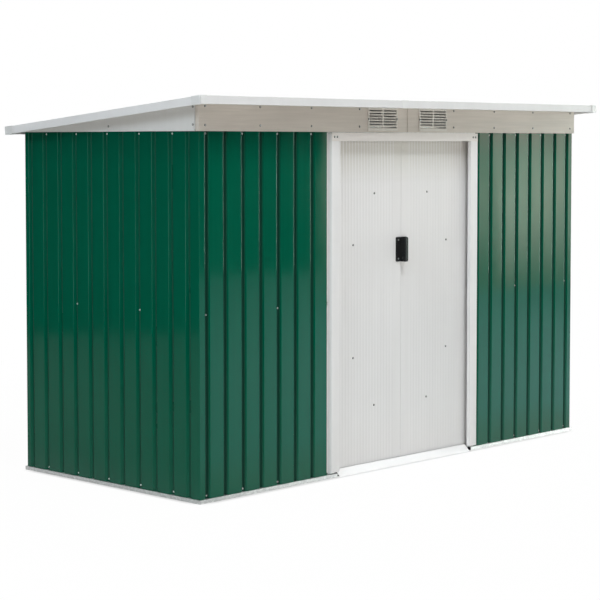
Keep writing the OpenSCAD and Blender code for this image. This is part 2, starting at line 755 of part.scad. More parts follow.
// Black handle: a screwed flange, and a grip that stands out at the meeting edge
module door_handle() color(BLACK)
    translate([leaf_in, front_y + door_setback, handle_z - handle_h / 2]) difference() {
        union() {
            rotate([90, 0, 0])
                linear_extrude(handle_t) rounded_plate(handle_flange, handle_h, handle_corner);
            translate([handle_t, 0, 0]) rotate([90, 0, -90])
                linear_extrude(handle_t) rounded_plate(grip_reach, handle_h, handle_corner);
            translate([grip_r, grip_r - grip_reach, handle_corner])
                cylinder(h = handle_h - 2 * handle_corner, r = grip_r);
        }
        translate([-over, -lock_hole_out, lock_hole_up]) rotate([0, 90, 0])
            cylinder(h = handle_t + 2 * over, r = lock_hole_r);
    }

module left_door_panel() right_hand() door_panel();
module left_door_braces() right_hand() door_braces();
module left_door_sliders() right_hand() door_sliders();
module left_door_handle() right_hand() door_handle();
module right_door_panel() door_panel();
module right_door_braces() door_braces();
module right_door_sliders() door_sliders();
module right_door_handle() door_handle();

front_base_rail_left();
front_base_rail_right();
left_base_rail();
right_base_rail();
back_base_rail();
door_ramp();
door_floor_track();
front_left_corner_sheet();
front_right_corner_sheet();
back_left_corner_sheet();
back_right_corner_sheet();
front_left_outer_sheet();
front_left_inner_sheet();
front_right_outer_sheet();
front_right_inner_sheet();
left_wall_sheet();
right_wall_sheet();
back_wall_sheet_left();
back_wall_sheet_middle();
back_wall_sheet_right();
front_top_rail();
left_top_rail();
right_top_rail();
back_top_rail();
door_top_track();
left_jamb();
right_jamb();
door_head();
front_fascia_left();
front_fascia_right();
back_fascia();
left_gable();
right_gable();
left_vent();
right_vent();
roof_sheet_left();
roof_sheet_middle();
roof_sheet_right();
roof_beam();
front_roof_trim();
back_roof_trim();
left_roof_trim();
right_roof_trim();
roof_corner_caps();
roof_trim_joiner();
left_door_panel();
left_door_braces();
left_door_sliders();
left_door_handle();
right_door_panel();
right_door_braces();
right_door_sliders();
right_door_handle();
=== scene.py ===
import json
import math

import bpy
import numpy as np
from mathutils import Matrix, Vector

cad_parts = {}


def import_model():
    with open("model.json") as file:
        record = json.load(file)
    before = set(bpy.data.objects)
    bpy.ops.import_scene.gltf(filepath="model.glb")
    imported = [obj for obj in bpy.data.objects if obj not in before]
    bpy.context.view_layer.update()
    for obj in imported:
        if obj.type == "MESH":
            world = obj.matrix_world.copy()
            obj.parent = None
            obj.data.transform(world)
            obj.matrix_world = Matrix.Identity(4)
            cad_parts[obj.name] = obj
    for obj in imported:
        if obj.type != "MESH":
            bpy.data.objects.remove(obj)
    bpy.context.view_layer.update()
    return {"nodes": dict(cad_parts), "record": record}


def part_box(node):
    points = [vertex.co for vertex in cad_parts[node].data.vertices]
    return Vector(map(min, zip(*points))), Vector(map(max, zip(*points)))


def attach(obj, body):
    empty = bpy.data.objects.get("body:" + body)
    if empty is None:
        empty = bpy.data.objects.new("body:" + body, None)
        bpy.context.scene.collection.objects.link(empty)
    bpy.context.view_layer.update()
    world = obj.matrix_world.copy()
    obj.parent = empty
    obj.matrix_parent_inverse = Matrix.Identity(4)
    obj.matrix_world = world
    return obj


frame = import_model()
nodes = frame["nodes"]

# Camera, fitted to the corners of the shed in a square picture, in metres, degrees and pixels
CAMERA_PLACE = (-6.400, -5.962, 1.508)
CAMERA_YAW = 46.40
CAMERA_PITCH = -3.11
CAMERA_FOCAL = 1787
CAMERA_SHIFT = -0.1
CAMERA_REACH = 200
PICTURE_SIDE = 600

# Colours, as linear light
GREEN = (0.0004, 0.101, 0.056)
GREEN_DEEP = (0.0003, 0.093, 0.051)
# Colour of the painted shade on the floors and sides of the green grooves
GREEN_FOLD_SHADE = (0.0003, 0.042, 0.025)
WHITE = (0.81, 0.798, 0.796)
WHITE_WORN = (0.78, 0.768, 0.766)
# The fascia's paint is darker and warmer than the white sheet: partly a paint of its own, partly painted
# shade under the eaves; its second tone makes painted streaks of reflection
FASCIA = (0.645, 0.587, 0.53)
FASCIA_REFLECTION_STREAK = (0.555, 0.505, 0.455)
# The gables' white is darker than the white sheet: painted shade
GABLE_SHADED = (0.68, 0.67, 0.655)
GABLE_SHADED_WORN = (0.64, 0.63, 0.615)
# The vents' white is darker than the white sheet: painted shade under the eaves
VENT_SHADED = (0.64, 0.61, 0.565)
VENT_SHADED_WORN = (0.61, 0.58, 0.535)
# Colour of the painted shade between the doors' beads
DOOR_SHADE_BETWEEN = (0.66, 0.63, 0.58)
# The front roof trim's white is a little darker than the white sheet: painted shade
TRIM_SHADED = (0.755, 0.742, 0.738)
TRIM_SHADED_WORN = (0.725, 0.712, 0.708)
# The door head's white is darker and warmer than the white sheet: painted shade under the eaves, warmed as
# by light from the ground
HEAD_SHADED = (0.775, 0.735, 0.705)
HEAD_SHADED_WORN = (0.745, 0.705, 0.675)
# The ramp's white is lighter than the white sheet: painted light on its upward slope
RAMP_LIT = (0.93, 0.915, 0.905)
RAMP_LIT_WORN = (0.91, 0.895, 0.885)
PLASTIC = (0.76, 0.755, 0.745)
PLASTIC_WORN = (0.72, 0.715, 0.705)
ZINC_LIGHT = (0.77, 0.77, 0.77)
ZINC_DARK = (0.60, 0.60, 0.605)
# Zinc of the screws in a shaded and a lit copy: the darker screws are painted shade, the lighter ones
# painted light
SHADED_SCREW_LIGHT = (0.42, 0.42, 0.41)
SHADED_SCREW_DARK = (0.28, 0.27, 0.26)
LIT_SCREW_LIGHT = (0.90, 0.91, 0.90)
LIT_SCREW_DARK = (0.72, 0.73, 0.72)
BLACK = (0.012, 0.012, 0.014)
BLACK_WORN = (0.022, 0.021, 0.021)
NYLON = (0.70, 0.70, 0.68)
NYLON_WORN = (0.64, 0.64, 0.62)
RUBBER = (0.03, 0.03, 0.03)
RUBBER_WORN = (0.05, 0.05, 0.05)

# Sizes of the shed that the paint and the screws follow, in metres
FRONT_BAYS = 25
SIDE_BAYS = 11
SHEET_INSET = 0.007
GROOVE_DEPTH = 0.012
DOOR_SETBACK = 0.042
BEAD_HEIGHT = 0.001
WALL_LEFT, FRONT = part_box("left_base_rail")[0].x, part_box("front_base_rail_left")[0].y
WALL_RIGHT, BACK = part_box("right_base_rail")[1].x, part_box("back_base_rail")[1].y
WALL_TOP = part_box("front_left_outer_sheet")[1].z
RIB_PITCH = (WALL_RIGHT - WALL_LEFT) / FRONT_BAYS
GROOVE_FLOOR = SHEET_INSET + GROOVE_DEPTH
DOOR_FACE = FRONT + DOOR_SETBACK


# Nodes of materials

def add(tree, kind, inputs=None, **settings):
    """A new node with its settings, whose inputs are values or other nodes' outputs."""
    node = tree.nodes.new(kind)
    for key, value in settings.items():
        setattr(node, key, value)
    for key, value in (inputs or {}).items():
        if isinstance(value, bpy.types.NodeSocket):
            tree.links.new(value, node.inputs[key])
        else:
            node.inputs[key].default_value = value
    return node


def calc(tree, operation, *values):
    """The result of an operation on numbers or other nodes' outputs."""
    return add(tree, "ShaderNodeMath", dict(enumerate(values)), operation=operation).outputs["Value"]


def product(tree, first, factors):
    """The product of a first value and of all the factors."""
    for factor in factors:
        first = calc(tree, "MULTIPLY", first, factor)
    return first


def axes_of(tree, place):
    """The three outputs X, Y and Z of a place."""
    return add(tree, "ShaderNodeSeparateXYZ", {"Vector": place}).outputs


def noise(tree, place, scale, detail=2.0):
    """A noise value over the given coordinates."""
    inputs = {"Vector": place, "Scale": scale, "Detail": detail}
    return add(tree, "ShaderNodeTexNoise", inputs).outputs["Fac"]


def stretched(tree, place, scale):
    """Coordinates scaled by a different factor along each axis."""
    return add(tree, "ShaderNodeMapping", {"Vector": place, "Scale": scale}).outputs["Vector"]


def remapped(tree, value, low, high, from_low=0.3, from_high=0.7):
    """A value taken from one range to another, and held at its ends."""
    inputs = {"Value": value, "From Min": from_low, "From Max": from_high, "To Min": low, "To Max": high}
    return add(tree, "ShaderNodeMapRange", inputs).outputs["Result"]


def mixed(tree, factor, first, second):
    """A colour between two colours, of which the first may be another node's output."""
    node = add(tree, "ShaderNodeMix", data_type="RGBA")
    tree.links.new(factor, node.inputs["Factor"])
    if isinstance(first, bpy.types.NodeSocket):
        tree.links.new(first, node.inputs["A"])
    else:
        node.inputs["A"].default_value = (*first, 1)
    node.inputs["B"].default_value = (*second, 1)
    return node.outputs["Result"]


def bumped(tree, height, distance, normal=None):
    """A normal that follows a height, of which 1 stands for the distance in metres."""
    inputs = {"Height": height, "Distance": distance, "Strength": 1.0}
    if normal is not None:
        inputs["Normal"] = normal
    return add(tree, "ShaderNodeBump", inputs).outputs["Normal"]


def footprint_depths(tree, place):
    """How far a place lies inside the shed's footprint along X and along Y, below 0 outside it."""
    axes = axes_of(tree, place)
    depths = []
    for axis, low, high in (("X", WALL_LEFT, WALL_RIGHT), ("Y", FRONT, BACK)):
        off = calc(tree, "SUBTRACT", axes[axis], (low + high) / 2)
        depths.append(calc(tree, "SUBTRACT", (high - low) / 2, calc(tree, "ABSOLUTE", off)))
    return depths


def new_material(name, specular, metallic=0.0):
    """A material with its node tree, its shader and the piece's own coordinates."""
    material = bpy.data.materials.new(name)
    material.use_nodes = True
    tree = material.node_tree
    shader = tree.nodes["Principled BSDF"]
    shader.inputs["Specular IOR Level"].default_value = specular
    shader.inputs["Metallic"].default_value = metallic
    place = add(tree, "ShaderNodeTexCoord").outputs["Object"]
    return material, tree, shader, place


def finish_shader(tree, shader, colour, roughness, normal):
    """Links the shader to its colour, its roughness and its normal."""
    tree.links.new(colour, shader.inputs["Base Color"])
    tree.links.new(roughness, shader.inputs["Roughness"])
    tree.links.new(normal, shader.inputs["Normal"])


# Painted sheet

# Painted shade of the grooves: the most, and the shares of a groove's depth where it starts and is full
FRONT_FOLD_SHADE = (1.0, 0.2, 0.85)
SIDE_FOLD_SHADE = (0.45, 0.80, 1.0)
FOLD_ROUGHNESS = 0.45
# Painted shade under the eaves and between the doors' beads: the most, and the heights where it starts and
# is full
EAVE_SHADE = 0.4
EAVE_RANGE = (1.41, 1.54)
BEAD_SHADE = 0.8
BEAD_SHADE_RANGE = (1.32, 1.47)
# Shares of a bead's height where the strip between the beads starts and is full
BEAD_FOOT = (0.7, 0.1)
# Grain upright, and streaks along the front that on the fascia are painted reflections, as scales along the
# three axes
UPRIGHT_GRAIN = (14, 14, 0.9)
LEVEL_SHEEN_STREAKS = (2.2, 2.2, 45)
STREAK_SCALE = 2.2
CLOUD_SCALE = 2.6
TINT_RANGE = (0.12, 0.42)
GLOSS_SCALE = 4
GLOSS_CHANGE = (-0.02, 0.03)
WAVE_STRETCH = (7, 7, 1.4)
WAVE_HEIGHT = 0.0006
PEEL_SCALE = 500
PEEL_HEIGHT = 0.000008


def fold_shade(tree, place):
    """How much painted shade a groove gets: 0 on the flats, and most on the floor of a groove."""
    along_x, along_y = footprint_depths(tree, place)
    nearest = calc(tree, "MINIMUM", along_x, along_y)
    on_side = calc(tree, "LESS_THAN", along_x, along_y)
    shades = []
    for most, start, end in (FRONT_FOLD_SHADE, SIDE_FOLD_SHADE):
        shades.append(remapped(tree, nearest, 0, most,
                               SHEET_INSET + start * GROOVE_DEPTH, SHEET_INSET + end * GROOVE_DEPTH))
    mix = add(tree, "ShaderNodeMix", data_type="FLOAT")
    for value, socket in zip((on_side, *shades), ("Factor", "A", "B")):
        tree.links.new(value, mix.inputs[socket])
    return mix.outputs["Result"]


def eave_shade(tree, place):
    """How much painted shade the top of a wall gets, under the eaves."""
    return remapped(tree, axes_of(tree, place)["Z"], 0, EAVE_SHADE, *EAVE_RANGE)


def bead_shade(tree, place):
    """How much painted shade the strips between a leaf's beads get: most at the top of the leaf, and 0 on
    the beads.
    """
    axes = axes_of(tree, place)
    between = remapped(tree, axes["Y"], 0, 1, *(DOOR_FACE - share * BEAD_HEIGHT for share in BEAD_FOOT))
    high = remapped(tree, axes["Z"], 0, BEAD_SHADE, *BEAD_SHADE_RANGE)
    return calc(tree, "MULTIPLY", between, high)


def painted_sheet(name, colour, worn, specular=0.04, roughness=0.40, grain=UPRIGHT_GRAIN,
                  dark=None, shade_of=None):
    """Coil-coated steel: faint streaks, shallow waves, fine orange peel, and dark dull painted shade."""
    material, tree, shader, place = new_material(name, specular)
    streaks = noise(tree, stretched(tree, place, grain), STREAK_SCALE, detail=3)
    clouds = noise(tree, place, CLOUD_SCALE)
    both = calc(tree, "MULTIPLY", streaks, clouds)
    tint = mixed(tree, remapped(tree, both, 0, 1, *TINT_RANGE), worn, colour)
    glossiest, dullest = (roughness + change for change in GLOSS_CHANGE)
    gloss = remapped(tree, noise(tree, place, GLOSS_SCALE), glossiest, dullest)
    # Painted shade: the colour goes darker and duller where the grooves, the eaves and the beads would shade
    # the sheet
    if shade_of is not None:
        shade = shade_of(tree, place)
        darkest = calc(tree, "MAXIMUM", shade, eave_shade(tree, place)) if shade_of is fold_shade else shade
        tint = mixed(tree, darkest, tint, dark)
        gloss = calc(tree, "MULTIPLY_ADD", shade, FOLD_ROUGHNESS, gloss)
    waves = bumped(tree, noise(tree, stretched(tree, place, WAVE_STRETCH), 1, detail=0), WAVE_HEIGHT)
    peel = bumped(tree, noise(tree, place, PEEL_SCALE, detail=1), PEEL_HEIGHT, waves)
    finish_shader(tree, shader, tint, gloss, peel)
    return material


# Zinc and plastic

FLAKE_SCALE = 130.0
FLAKE_GLOSS = (0.34, 0.55)
ROLLED_SCALE = 300
ROLLED_HEIGHT = 0.00004
MOTTLE_SCALE = 22
SHINE_SCALE = 60
SHINE_CHANGE = (-0.06, 0.08)
GRAIN_SCALE = 1400


def galvanised_steel(name, light, dark):
    """Zinc-coated steel with its crystal flakes."""
    material, tree, shader, place = new_material(name, specular=0.5, metallic=0.85)
    flakes = add(tree, "ShaderNodeTexVoronoi", {"Vector": place, "Scale": FLAKE_SCALE}, feature="F1")
    flake = add(tree, "ShaderNodeSeparateColor", {"Color": flakes.outputs["Color"]}).outputs["Red"]
    tint = mixed(tree, flake, dark, light)
    gloss = remapped(tree, flake, *FLAKE_GLOSS, 0, 1)
    rolled = noise(tree, place, ROLLED_SCALE)
    finish_shader(tree, shader, tint, gloss, bumped(tree, rolled, ROLLED_HEIGHT))
    return material


def moulded_plastic(name, colour, worn, roughness, grain, specular=0.4):
    """Moulded plastic with a fine grain, of a height in metres, and small changes of gloss."""
    material, tree, shader, place = new_material(name, specular)
    tint = mixed(tree, remapped(tree, noise(tree, place, MOTTLE_SCALE, detail=3), 0, 1), colour, worn)
    glossiest, dullest = (roughness + change for change in SHINE_CHANGE)
    gloss = remapped(tree, noise(tree, place, SHINE_SCALE), glossiest, dullest)
    finish_shader(tree, shader, tint, gloss, bumped(tree, noise(tree, place, GRAIN_SCALE), grain))
    return material


# Materials of the record's slots, of pieces whose paint carries painted light and shade, and of the screws
# in a lit and a shaded copy

MATERIALS = {
    "green_sheet": painted_sheet("green_paint", GREEN, GREEN_DEEP, specular=0.25, roughness=0.085,
                                 dark=GREEN_FOLD_SHADE, shade_of=fold_shade),
    "white_sheet": painted_sheet("white_paint", WHITE, WHITE_WORN),
    "galvanised": galvanised_steel("zinc_coating", ZINC_LIGHT, ZINC_DARK),
    "white_plastic": moulded_plastic("white_moulding", PLASTIC, PLASTIC_WORN,
                                     roughness=0.42, grain=0.00003, specular=0.05),
    "black_plastic": moulded_plastic("black_moulding", BLACK, BLACK_WORN,
                                     roughness=0.36, grain=0.00005, specular=0.2),
    "nylon": moulded_plastic("nylon_moulding", NYLON, NYLON_WORN, roughness=0.5, grain=0.00004),
}
# Fascia: partly painted shade in its darker colour, and painted reflections in its level streaks
FASCIA_PAINT = painted_sheet("fascia_paint", FASCIA, FASCIA_REFLECTION_STREAK, grain=LEVEL_SHEEN_STREAKS)
# Vents in a darker white, as painted shade under the eaves
VENT_SHADED_PAINT = painted_sheet("vent_shaded_paint", VENT_SHADED, VENT_SHADED_WORN)
# The doors' white, with painted shade between their beads that is strongest near the top
DOOR_PAINT = painted_sheet("door_paint", WHITE, WHITE_WORN, specular=0.08, roughness=0.20,
                           dark=DOOR_SHADE_BETWEEN, shade_of=bead_shade)
# Gables in a darker white, as painted shade
GABLE_SHADED_PAINT = painted_sheet("gable_shaded_paint", GABLE_SHADED, GABLE_SHADED_WORN)
PAINTS_WITH_PAINTED_LIGHT = {
    "front_fascia_left": FASCIA_PAINT,
    "front_fascia_right": FASCIA_PAINT,
    # The front roof trim in a darker white, as painted shade
    "front_roof_trim": painted_sheet("trim_shaded_paint", TRIM_SHADED, TRIM_SHADED_WORN),
    # The door head in a darker, warmer white, as painted shade
    "door_head": painted_sheet("head_shaded_paint", HEAD_SHADED, HEAD_SHADED_WORN),
    # The ramp in a lighter white, as painted light
    "door_ramp": painted_sheet("ramp_lit_paint", RAMP_LIT, RAMP_LIT_WORN),
    "left_vent": VENT_SHADED_PAINT,
    "right_vent": VENT_SHADED_PAINT,
    "left_gable": GABLE_SHADED_PAINT,
    "right_gable": GABLE_SHADED_PAINT,
    "left_door_panel": DOOR_PAINT,
    "right_door_panel": DOOR_PAINT,
}
# A shaded and a lit copy of the screws' zinc, as painted shade and painted light
SHADED_SCREW_STEEL = galvanised_steel("shaded_screw_steel", SHADED_SCREW_LIGHT, SHADED_SCREW_DARK)
LIT_SCREW_STEEL = galvanised_steel("lit_screw_steel", LIT_SCREW_LIGHT, LIT_SCREW_DARK)
WASHER_RUBBER = moulded_plastic("washer_rubber", RUBBER, RUBBER_WORN, roughness=0.6, grain=0.00003)


# Finish of the construction's own pieces

WELD_DISTANCE = 0.00001
SMOOTH_ANGLE = 33
FLAT_WEIGHT = 100


def smooth_bends():
    """A modifier's nodes that weld the faces of a piece and shade its shallow bends smooth."""
    group = bpy.data.node_groups.new("smooth_bends", "GeometryNodeTree")
    group.interface.new_socket("Geometry", in_out="INPUT", socket_type="NodeSocketGeometry")
    group.interface.new_socket("Geometry", in_out="OUTPUT", socket_type="NodeSocketGeometry")
    start = add(group, "NodeGroupInput").outputs["Geometry"]
    bare = add(group, "GeometryNodeRemoveAttribute", {"Geometry": start, "Name": "custom_normal"})
    welded = add(group, "GeometryNodeMergeByDistance",
                 {"Geometry": bare.outputs["Geometry"], "Distance": WELD_DISTANCE})
    angle = add(group, "GeometryNodeInputMeshEdgeAngle").outputs["Unsigned Angle"]
    shallow = add(group, "FunctionNodeCompare", {"A": angle, "B": math.radians(SMOOTH_ANGLE)},
                  data_type="FLOAT", operation="LESS_THAN").outputs["Result"]
    faces = add(group, "GeometryNodeSetShadeSmooth",
                {"Geometry": welded.outputs["Geometry"]}, domain="FACE")
    edges = add(group, "GeometryNodeSetShadeSmooth",
                {"Geometry": faces.outputs["Geometry"], "Shade Smooth": shallow}, domain="EDGE")
    add(group, "NodeGroupOutput", {"Geometry": edges.outputs["Geometry"]})
    return group


SMOOTH_BENDS = smooth_bends()
for part in frame["record"]["subparts"]:
    piece = nodes[part["node"]]
    piece.data.materials.clear()
    piece.data.materials.append(PAINTS_WITH_PAINTED_LIGHT.get(part["node"], MATERIALS[part["material_slot"]]))
    piece.modifiers.new("smooth_bends", "NODES").node_group = SMOOTH_BENDS
    flats = piece.modifiers.new("flat_faces", "WEIGHTED_NORMAL")
    flats.keep_sharp = True
    flats.weight = FLAT_WEIGHT


# Meshes of new pieces

def mesh_piece(name, corners, faces, *materials):
    """A new piece made of corners and faces, with its materials."""
    mesh = bpy.data.meshes.new(name)
    mesh.from_pydata(corners, [], faces)
    for material in materials:
        mesh.materials.append(material)
    piece = bpy.data.objects.new(name, mesh)
    bpy.context.scene.collection.objects.link(piece)
    return piece


def prism_faces(count, first, order):
    """Faces between two like outlines of so many corners, one after the other, in the order 1 or -1."""
    faces = [tuple(range(count)), tuple(reversed(range(count, 2 * count)))]
    faces += [(i, count + i, count + (i + 1) % count, (i + 1) % count) for i in range(count)]
    return [tuple(first + i for i in face[::order]) for face in faces]


# Screws, in metres, with profiles as shares of the radius and of the height

SCREW_SEGMENTS = 16
HEAD_RADIUS = 0.0040
HEAD_HEIGHT = 0.0026
HEAD_PROFILE = ((1, 0), (1, 0.45), (0.9, 0.75), (0.66, 0.94), (0.5, 0.98), (0.2, 1))
WASHER_RADIUS = 0.0050
WASHER_HEIGHT = 0.0012
WASHER_PROFILE = ((1, 0), (1, 0.6), (0.93, 1), (0.6, 1))
RECESS_DEPTH = 0.0013
RECESS_ARM_DEPTH = 0.00078
RECESS_ARMS = 4
SCREW_TWIST = 2.4


def turned_shape(profile, radius, height, foot):
    """Corners and faces of a shape turned about Z from its foot upward, closed at both ends."""
    count = SCREW_SEGMENTS
    turns = [2 * math.pi * i / count for i in range(count)]
    corners = [(wide * radius * math.cos(turn), wide * radius * math.sin(turn), foot + high * height)
               for wide, high in profile for turn in turns]
    faces = []
    for low in range(0, (len(profile) - 1) * count, count):
        high = low + count
        faces += [(low + i, low + (i + 1) % count, high + (i + 1) % count, high + i) for i in range(count)]
    faces.append(tuple(reversed(range(count))))
    faces.append(tuple(range(len(corners) - count, len(corners))))
    return np.array(corners), faces


def head_shape():
    """A pan head with a cross recess, on its washer."""
    corners, faces = turned_shape(HEAD_PROFILE, HEAD_RADIUS, HEAD_HEIGHT, WASHER_HEIGHT)
    arm_ring, middle_ring = corners[-2 * SCREW_SEGMENTS:-SCREW_SEGMENTS], corners[-SCREW_SEGMENTS:]
    arm_ring[::SCREW_SEGMENTS // RECESS_ARMS, 2] -= RECESS_ARM_DEPTH
    middle_ring[:, 2] -= RECESS_DEPTH
    return corners, faces


SCREW_PARTS = (turned_shape(WASHER_PROFILE, WASHER_RADIUS, WASHER_HEIGHT, 0), head_shape())


def screws(name, places, body="shed", steel=SHADED_SCREW_STEEL):
    """One piece of many screws, each at a point of a face and along that face's outward direction."""
    corners, faces, skins = [], [], []
    for number, (point, outward) in enumerate(places):
        facing = Vector(outward).to_track_quat("Z", "Y").to_matrix()
        turn = np.array(facing @ Matrix.Rotation(SCREW_TWIST * number, 3, "Z"))
        for skin, (shape, sides) in enumerate(SCREW_PARTS):
            first = len(corners)
            corners.extend((shape @ turn.T + np.array(point)).tolist())
            faces.extend(tuple(first + i for i in side) for side in sides)
            skins.extend([skin] * len(sides))
    piece = mesh_piece(name, corners, faces, WASHER_RUBBER, steel)
    piece.data.polygons.foreach_set("material_index", skins)
    piece.modifiers.new("smooth_bends", "NODES").node_group = SMOOTH_BENDS
    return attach(piece, body)


# Screws of the walls, in the grooves, which count from the left on the front and the back

BOTTOM_ROW = 0.028
MIDDLE_ROW = 0.790
TOP_ROW_DROP = 0.019
JAMB_GROOVES = (7, 17)
JAMB_TAB = 0.001
SIDE_GROOVE_BACK = 0.006
SIDE_GROOVE_CLOSER = 0.0016


def wall_rows(foot, laps, top):
    """Grooves and heights of a wall's screws, in rows along its foot, in its laps and along its top."""
    rows = ((BOTTOM_ROW, foot), (MIDDLE_ROW, laps), (WALL_TOP - TOP_ROW_DROP, top))
    return [(k, z) for z, grooves in rows for k in grooves]


def groove_at(k):
    """Distance of a groove from the end of its wall."""
    return (k + 0.5) * RIB_PITCH


def side_groove_at(k):
    """Place of a groove of a side, where the grooves count from the back and are a little closer."""
    return BACK - groove_at(k) + SIDE_GROOVE_BACK + k * SIDE_GROOVE_CLOSER


def front_groove(k):
    """Face in a groove of the front, where the tabs of the jambs lie on the sheets."""
    return FRONT + GROOVE_FLOOR - (JAMB_TAB if k in JAMB_GROOVES else 0)


def front_places(rows):
    return [((WALL_LEFT + groove_at(k), front_groove(k), z), (0, -1, 0)) for k, z in rows]


def back_places(rows):
    return [((WALL_LEFT + groove_at(k), BACK - GROOVE_FLOOR, z), (0, 1, 0)) for k, z in rows]


def side_places(rows, wall, out):
    return [((wall - out * GROOVE_FLOOR, side_groove_at(k), z), (out, 0, 0)) for k, z in rows]


front_left_rows = wall_rows(foot=(0, 2, 4), laps=(0, 4, 7), top=(0, 2, 4, 6))
front_right_rows = wall_rows(foot=(20, 22, 24), laps=(17, 20, 24), top=(18, 20, 22, 24))
back_grooves = range(0, FRONT_BAYS, 2)
back_rows = wall_rows(foot=back_grooves, laps=(0, 8, 16, 24), top=back_grooves)
side_grooves = range(1, SIDE_BAYS, 2)
side_rows = wall_rows(foot=side_grooves, laps=(3, 7), top=side_grooves)
# Lighter screws where they catch light on the green, darker ones elsewhere: painted light and painted shade
screws("front_left_screws", front_places(front_left_rows), steel=LIT_SCREW_STEEL)
screws("front_right_screws", front_places(front_right_rows))
screws("back_wall_screws", back_places(back_rows), steel=LIT_SCREW_STEEL)
screws("left_wall_screws", side_places(side_rows, WALL_LEFT, -1), steel=LIT_SCREW_STEEL)
screws("right_wall_screws", side_places(side_rows, WALL_RIGHT, 1), steel=LIT_SCREW_STEEL)

# Screws of the fascia and of the gables, by distance from the corner and height
FASCIA_ROWS = (1.582, 1.661)
FASCIA_COLUMNS = (0.036, 0.3595, 0.680, 0.998)
GABLE_SPOTS = ((0.036, 1.658), (0.036, 1.584), (0.573, 1.580))
fascia_places = [((end + inward * step, FRONT, z), (0, -1, 0)) for z in FASCIA_ROWS
                 for end, inward in ((WALL_LEFT, 1), (WALL_RIGHT, -1)) for step in FASCIA_COLUMNS]
gable_places = [((x, FRONT + back, z), (out, 0, 0)) for x, out in ((WALL_LEFT, -1), (WALL_RIGHT, 1))
                for back, z in GABLE_SPOTS]
screws("fascia_screws", fascia_places)
screws("gable_screws", gable_places)

# Screws of the door head, two at each end
HEAD_END = 0.018
HEAD_STEP = 0.018
head_low, head_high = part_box("door_head")
head_z = (head_low.z + head_high.z) / 2
screws("door_head_screws", [((side * (head_high.x - inset), head_low.y, head_z), (0, -1, 0))
                            for side in (-1, 1) for inset in (HEAD_END, HEAD_END + HEAD_STEP)])

# Screws of the vents, one in the middle of each upright border
VENT_BORDER = 0.008
vent_places = []
for vent in ("left_vent", "right_vent"):
    low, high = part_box(vent)
    vent_places += [((x, low.y, (low.z + high.z) / 2), (0, -1, 0))
                    for x in (low.x + VENT_BORDER / 2, high.x - VENT_BORDER / 2)]
screws("vent_screws", vent_places)

# Screws of the doors, by distance from the middle and height, and of the flanges of the handles
DOOR_SPOTS = ((0.190, 1.276), (0.336, 1.042), (0.336, 0.524), (0.190, 0.293))
HANDLE_ENDS = 0.014
FLANGE_OFF = 0.004
FLANGE_THICK = 0.004
DOORS = ((-1, "left_door"), (1, "right_door"))
for side, door in DOORS:
    screws(door + "_screws", [((side * x, DOOR_FACE, z), (0, -1, 0)) for x, z in DOOR_SPOTS], door)
    low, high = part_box(door + "_handle")
    flange_x = (low.x + high.x) / 2 + side * FLANGE_OFF
    screws(door + "_handle_screws", [((flange_x, DOOR_FACE - FLANGE_THICK, z), (0, -1, 0))
                                     for z in (low.z + HANDLE_ENDS, high.z - HANDLE_ENDS)], door)


# Strips that carry the faces of the doors on, behind the jambs and to where the doors meet

EDGE_REACH = 0.016
EDGE_SHEET = 0.0008
EDGE_SHORT = 0.004
EDGE_ROUND = 0.0004
LEAF_BEND = 0.006
MEETING_GAP = 0.0008


def door_edge(name, door, out, reach):
    """A strip of sheet with a rolled edge, that goes out from the flat of a door's face past its bend."""
    low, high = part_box(door + "_panel")
    seat = high.x - LEAF_BEND if out > 0 else low.x + LEAF_BEND
    end = seat + out * (LEAF_BEND + reach)
    rolled = end - out * EDGE_ROUND
    back = DOOR_FACE + EDGE_SHEET
    section = ((seat, DOOR_FACE), (rolled, DOOR_FACE), (end, DOOR_FACE + EDGE_ROUND),
               (rolled, back), (seat, back))
    corners = [(x, y, z) for z in (low.z + EDGE_SHORT, high.z - EDGE_SHORT) for x, y in section]
    piece = mesh_piece(name, corners, prism_faces(len(section), 0, -out), DOOR_PAINT)
    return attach(piece, door)


meeting_reach = (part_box("right_door_panel")[0].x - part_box("left_door_panel")[1].x - MEETING_GAP) / 2
for side, door in DOORS:
    door_edge(door + "_edge", door, side, EDGE_REACH)
    door_edge(door + "_meeting_edge", door, -side, meeting_reach)


# Black plugs that stand as painted shade in the open ends of the ramp and of the front rails beside it, as
# depths and heights

PLUG_LENGTH = 0.004
RAMP_PLUG = ((0.004, 0.0016), (0.0265, 0.0262), (0.0344, 0.0262), (0.0344, 0.0016))
RAIL_PLUG = ((0.0016, 0.0016), (0.0016, 0.0144), (0.0190, 0.0144), (0.0190, 0.0016))


def plugs(name, outline, ends):
    """One piece of plugs with a common outline, each from an end of a hollow piece to its inside, black as
    painted shade.
    """
    corners, faces = [], []
    for end, inward in ends:
        faces += prism_faces(len(outline), len(corners), inward)
        corners += [(x, FRONT + back, z) for x in (end, end + inward * PLUG_LENGTH) for back, z in outline]
    piece = mesh_piece(name, corners, faces, MATERIALS["black_plastic"])
    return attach(piece, "shed")


ramp_low, ramp_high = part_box("door_ramp")
plugs("ramp_end_shade_plugs", RAMP_PLUG, ((ramp_low.x, 1), (ramp_high.x, -1)))
plugs("rail_end_shade_plugs", RAIL_PLUG, ((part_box("front_base_rail_left")[1].x, -1),
                                    (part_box("front_base_rail_right")[0].x, 1)))


# Stage: floor, light and camera

def seen_directly(tree):
    """1 for rays of the camera, of reflections and of see-through pieces, and 0 for light on its way."""
    path = add(tree, "ShaderNodeLightPath").outputs
    some = calc(tree, "MAXIMUM", path["Is Camera Ray"], path["Is Glossy Ray"])
    return calc(tree, "MAXIMUM", some, path["Is Transmission Ray"])


def stage_piece(name, corners, faces, material):
    """A piece of the floor or the studio, which isn't part of the shed."""
    piece = mesh_piece(name, corners, faces, material)
    return piece


